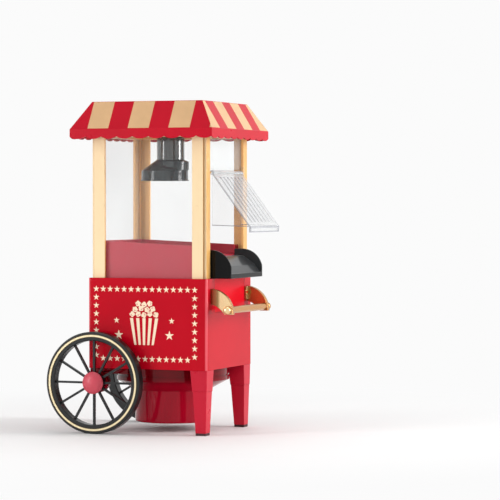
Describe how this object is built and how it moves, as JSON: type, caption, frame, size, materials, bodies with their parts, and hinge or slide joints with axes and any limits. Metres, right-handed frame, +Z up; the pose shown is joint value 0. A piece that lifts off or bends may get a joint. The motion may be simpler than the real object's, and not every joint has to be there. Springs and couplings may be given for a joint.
{
  "type": "popcorn maker",
  "caption": "Tabletop hot-air popcorn maker shaped as a street cart, with a striped canopy, windowed cabinet, serving chute, spoked wheels, legs and a push handle.",
  "frame": {"origin": "on the floor, under the middle of the object's bounding box", "axes": "+Z up, +X towards the serving chute and push handle, -Y towards the front with the star border"},
  "size_m": [0.2548, 0.2018, 0.4116],
  "materials": {
    "red_plastic": "glossy red",
    "dark_red": "glossy dark red",
    "leg_red": "satin red",
    "tray_red": "satin red",
    "canopy_stripe": "red with beige stripes",
    "cream": "cream gold",
    "clear": "clear",
    "smoke": "glossy dark grey",
    "cup_clear": "cream",
    "black": "glossy black",
    "gold": "brushed gold",
    "steel": "steel",
    "rubber": "matte black",
    "aluminium": "drawn",
    "duct": "plated sheet",
    "fan": "matte",
    "mica": "matte",
    "wire": "resistance wire",
    "board": "matte"
  },
  "bodies": {
    "cart": {"air_duct": "duct", "axle_back": "steel", "axle_bracket_back": "dark_red", "axle_bracket_front": "dark_red", "axle_front": "steel", "base_plate": "dark_red", "body_shell": "red_plastic", "chute": "black", "circuit_board": "board", "cord_gland": "black", "flap_hinge_pin": "steel", "foot_back": "rubber", "foot_front": "rubber", "handle_bar": "gold", "handle_bracket_back": "gold", "handle_bracket_front": "gold", "handle_screws": "steel", "heater_coil": "wire", "heater_frame": "mica", "intake_grille": "dark_red", "leg_back": "leg_red", "leg_front": "leg_red", "motor": "duct", "motor_bracket": "fan", "motor_housing": "dark_red", "outlet_panel": "red_plastic", "popcorn_tray": "tray_red", "popping_chamber": "aluminium", "post_back_left": "cream", "post_back_right": "cream", "post_front_left": "cream", "post_front_right": "cream", "switch_bezel": "black", "thermostat": "steel", "top_frame": "cream", "window_back": "clear", "window_front": "clear", "window_left": "clear", "window_right": "clear"},
    "wheel_front": {"wheel_front": "black", "hub_cap_front": "leg_red"},
    "wheel_back": {"wheel_back": "black", "hub_cap_back": "leg_red"},
    "flap": {"serving_flap": "clear"},
    "roof": {"canopy": "canopy_stripe", "ceiling_plate": "tray_red", "feed_tube": "smoke", "kettle_hood": "smoke"},
    "cup": {"measuring_cup": "cup_clear"},
    "rocker": {"switch_rocker": "black"},
    "fan": {"impeller": "fan", "motor_shaft": "steel"}
  },
  "joints": [
    {"name": "wheel_front_spin", "type": "hinge", "parent": "cart", "child": "wheel_front", "pos_m": [-0.0644, -0.0885, 0.063], "axis": [0, 1, 0], "continuous": true},
    {"name": "wheel_back_spin", "type": "hinge", "parent": "cart", "child": "wheel_back", "pos_m": [-0.0644, 0.0885, 0.063], "axis": [0, 1, 0], "continuous": true},
    {"name": "flap_swing", "type": "hinge", "parent": "cart", "child": "flap", "pos_m": [0.076, 0, 0.322], "axis": [0, -1, 0], "range_deg": [-36, 40]},
    {"name": "roof_lift", "type": "slide", "parent": "cart", "child": "roof", "axis": [0, 0, 1], "range_m": [0, 0.1]},
    {"name": "cup_lift", "type": "slide", "parent": "roof", "child": "cup", "axis": [0, 0, 1], "range_m": [0, 0.04]},
    {"name": "switch_rock", "type": "hinge", "parent": "cart", "child": "rocker", "pos_m": [-0.04, 0.075, 0.115], "axis": [1, 0, 0], "range_deg": [-16, 0]},
    {"name": "fan_spin", "type": "hinge", "parent": "cart", "child": "fan", "pos_m": [0.003, 0, 0.03], "axis": [0, 0, 1], "continuous": true}
  ]
}
